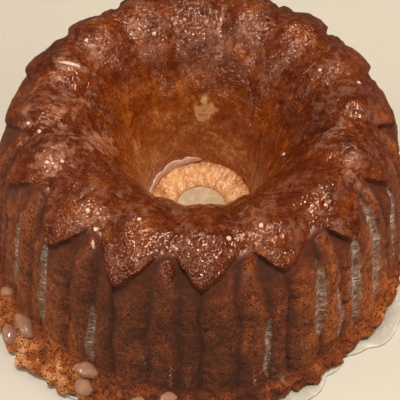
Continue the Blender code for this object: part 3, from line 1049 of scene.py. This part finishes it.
class CAKE_OT_groove_glaze(bpy.types.Operator):
    """Run streaks of glaze down the grooves of the wall"""

    bl_idname = "cake.groove_glaze"
    bl_label = "Glaze in the grooves"

    def execute(self, context):
        settings = context.scene.cake_glaze
        crust, film, chance = start_laying(0)
        runs = bmesh.new()
        for direction, begin, end, broad in (*STREAKS, *hidden_streaks(chance)):
            around = math.radians(direction)
            ways = np.linspace(begin, end, STREAK_STEPS)
            middle = around + 0.003 * np.sin(ways * 150.0 + direction)
            width = settings.streak_width * chance.uniform(0.75, 1.2) * broad
            add_strand(film, crust, (middle, ways), width, settings.streak_thickness)
            for side in RUN_SIDES:
                ends = chance.uniform(0.0, 0.3), chance.uniform(0.6, 1.0)
                ways = begin + (end - begin) * np.linspace(*ends, RUN_STEPS)
                path = around + side * width / WALL_RADIUS + 0.004 * np.sin(ways * 230.0 + 9.0 * side), ways
                run_width = settings.run_width * chance.uniform(0.7, 1.3)
                add_strand(runs, crust, path, run_width, RUN_THICKNESS, RUN_CORNERS)
        for direction, begin, end in SQUIGGLES:
            ways = np.linspace(begin, end, STREAK_STEPS)
            path = math.radians(direction) + 0.0045 * np.sin(ways * 1500.0) + 0.6 * (ways - begin), ways
            add_strand(runs, crust, path, settings.run_width, RUN_THICKNESS, RUN_CORNERS)
        colour = settings.streak_colour
        make_piece("groove_film", film, streak_material("film_glaze", colour, 0.58, roughness=0.3))
        make_piece("groove_runs", runs, streak_material("run_glaze", colour, 0.42, roughness=0.1))
        return {"FINISHED"}


class CAKE_OT_drops(bpy.types.Operator):
    """Scatter round drops of white glaze over the top"""

    bl_idname = "cake.drops"
    bl_label = "Drops on top"

    def execute(self, context):
        settings = context.scene.cake_glaze
        crust, bm, chance = start_laying(1)
        hidden = [(chance.uniform(100, 250), chance.uniform(-0.01, 0.018)) for _ in range(HIDDEN_DROPS)]
        for direction, way in (*DROP_PLACES, *hidden):
            size = settings.drop_size * chance.uniform(0.8, 1.15)
            frame_at = skin_frame(math.radians(direction), way)
            add_blob(bm, crust, frame_at, (size, size * 0.85, size * 0.3), chance.uniform(0, 3.0))
        for (direction_a, way_a), (direction_b, way_b), width in SMEARS:
            path = np.radians(np.linspace(direction_a, direction_b, 25)), np.linspace(way_a, way_b, 25)
            add_strand(bm, crust, path, width, SMEAR_THICKNESS)
        for direction in RIM_BLOBS:
            frame_at = skin_frame(math.radians(direction), RIM_WAY)
            add_blob(bm, crust, frame_at, RIM_BLOB_SIZE, wobble=0.6, fineness=32)
        looks = context.scene.cake_crust
        make_piece("glaze_drops", bm, glaze_material("white_glaze", settings.drop_colour, looks))
        return {"FINISHED"}


class CAKE_OT_lip_glaze(bpy.types.Operator):
    """Hang thick blobs of glaze over the lip"""

    bl_idname = "cake.lip_glaze"
    bl_label = "Glaze on the lip"

    def execute(self, context):
        crust, bm, chance = start_laying(2)
        for direction, out, *size in LIP_BLOBS:
            frame_at = skin_frame(math.radians(direction), WALL_DROP + out * LIP_WAY)
            turn = chance.uniform(-0.25, 0.25)
            add_blob(bm, crust, frame_at, size, turn, 0.25, sink=0.0018, fineness=48, evenness=0.6)
        colour, looks = context.scene.cake_glaze.lip_colour, context.scene.cake_crust
        make_piece("lip_glaze", bm, glaze_material("lip_glaze", colour, looks, 0.06, 0.00004))
        return {"FINISHED"}


class CAKE_OT_pools(bpy.types.Operator):
    """Let glaze pool in the hole and round the foot"""

    bl_idname = "cake.pools"
    bl_label = "Pools of glaze"

    def execute(self, context):
        settings, looks = context.scene.cake_glaze, context.scene.cake_crust
        pool_look = glaze_material("pool_glaze", settings.pool_colour, looks, 0.08)
        puddle_look = glaze_material("puddle_glaze", settings.puddle_colour, looks, 0.08)
        make_piece("hole_pool", self.pool(), pool_look)
        make_piece("foot_puddle", self.puddle(settings.puddle_reach), puddle_look)
        return {"FINISHED"}

    def pool(self):
        """A flat dome of glaze that fills the foot of the hole."""
        bm = bmesh.new()
        middle = AXIS + Vector((*HOLE_SHIFT, 0.0))
        for vert in bmesh.ops.create_uvsphere(bm, u_segments=64, v_segments=24, radius=1.0)["verts"]:
            dome = max(vert.co.z, 0.0)
            vert.co = middle + Vector((vert.co.x, vert.co.y, 0.0)) * (HOLE_RADIUS + POOL_MARGIN)
            vert.co.z = 0.0001 + POOL_DOME * dome**0.5 + 0.0002 * noise.noise(vert.co * 180.0)
        return bm

    def puddle(self, reach):
        """A thin ring of glaze on the floor with a rounded, wandering edge."""
        azimuth = np.arange(COLUMNS // 2) * (4 * math.pi / COLUMNS)
        wanders = 0.45 + 0.55 * waves(azimuth, WANDER_WAVES) - 0.8 * lip_gold(azimuth)
        edge = lip_radius(azimuth) + reach * np.maximum(wanders, -0.3)
        rings = [placed(azimuth, edge + back, 0.0 * azimuth + height) for back, height in PUDDLE_SECTION]
        bm = bmesh.new()
        for vert, column, row in zip(*rolled_grid(bm, len(azimuth), len(rings))):
            vert.co = rings[row % len(rings)][column % len(azimuth)] + SHIFT
        bmesh.ops.remove_doubles(bm, verts=bm.verts, dist=1e-7)
        return bm


class CAKE_OT_stage(bpy.types.Operator):
    """Set the pale floor, the soft lights and the camera"""

    bl_idname = "cake.stage"
    bl_label = "Stage"

    def execute(self, context):
        scene = context.scene
        settings = scene.cake_stage
        add_floor(settings.floor_colour)
        world = bpy.data.worlds.new("soft_room")
        world.use_nodes = True
        light = {"Color": (*LIGHT_COLOUR, 1.0), "Strength": settings.room_light}
        fill(world.node_tree, world.node_tree.nodes["Background"], light)
        scene.world = world
        scene.view_settings.view_transform = "Standard"
        for name, place, size, setting, share, glints in LIGHTS:
            add_area_light(name, place, size, getattr(settings, setting) * share, glints)
        add_camera(scene, settings)
        return {"FINISHED"}


def add_floor(colour):
    """A plain floor that doesn't show in the cake's shine."""
    material, tree, shader, _ = new_material("pale_floor")
    fill(tree, shader, {"Base Color": (*colour, 1.0), "Roughness": 0.6})
    bm = bmesh.new()
    bmesh.ops.create_grid(bm, x_segments=2, y_segments=2, size=FLOOR_SIZE)
    floor = new_object("floor", bm, material)
    floor.visible_glossy = False


def add_area_light(name, place, size, power, glints):
    """A square light aimed at the cake. Only glint lights show in its shine, and they light nothing else."""
    light = bpy.data.lights.new(name, "AREA")
    light.size = size
    light.energy = power
    light.color = LIGHT_COLOUR
    lamp = bpy.data.objects.new(name, light)
    lamp.location = place
    lamp.rotation_euler = (AXIS - Vector(place)).to_track_quat("-Z", "Y").to_euler()
    lamp.visible_glossy = glints
    lamp.visible_diffuse = not glints
    bpy.context.scene.collection.objects.link(lamp)


def add_camera(scene, settings):
    """The photograph's view: the foot of the hole stands a little below the middle of the picture."""
    camera = bpy.data.cameras.new("camera")
    camera.lens = settings.camera_lens
    camera.sensor_width = 36.0
    back = Vector((0.0, -math.cos(settings.camera_elevation), math.sin(settings.camera_elevation)))
    place = AXIS + back * settings.camera_distance
    aim = AXIS + Vector(AIM_SHIFT)
    turn = (aim - place).to_track_quat("-Z", "Y").to_matrix() @ Matrix.Rotation(settings.camera_roll, 3, "Z")
    eye = bpy.data.objects.new("camera", camera)
    eye.matrix_world = Matrix.Translation(place) @ turn.to_4x4()
    scene.collection.objects.link(eye)
    scene.camera = eye


OPERATORS = (
    CAKE_OT_crust, CAKE_OT_groove_glaze, CAKE_OT_drops, CAKE_OT_lip_glaze, CAKE_OT_pools, CAKE_OT_stage
)


class CAKE_PT_panel(bpy.types.Panel):
    """The cake's pieces, in the order they are made"""

    bl_idname = "CAKE_PT_panel"
    bl_label = "Glazed Ring Cake"
    bl_space_type = "VIEW_3D"
    bl_region_type = "UI"
    bl_category = "Cake"

    def draw(self, context):
        for settings in (context.scene.cake_crust, context.scene.cake_glaze, context.scene.cake_stage):
            for name in settings.bl_rna.properties.keys()[2:]:
                self.layout.prop(settings, name)
        for operator in OPERATORS:
            self.layout.operator(operator.bl_idname)


SETTINGS = {"cake_crust": CrustSettings, "cake_glaze": GlazeSettings, "cake_stage": StageSettings}
CLASSES = (*SETTINGS.values(), *OPERATORS, CAKE_PT_panel)


def register():
    for cls in CLASSES:
        bpy.utils.register_class(cls)
    for name, group in SETTINGS.items():
        setattr(bpy.types.Scene, name, bpy.props.PointerProperty(type=group))


def unregister():
    for name in SETTINGS:
        delattr(bpy.types.Scene, name)
    for cls in reversed(CLASSES):
        bpy.utils.unregister_class(cls)


def main():
    register()
    bpy.ops.cake.crust()
    bpy.ops.cake.groove_glaze()
    bpy.ops.cake.drops()
    bpy.ops.cake.lip_glaze()
    bpy.ops.cake.pools()
    bpy.ops.cake.stage()


if __name__ == "__main__":
    main()
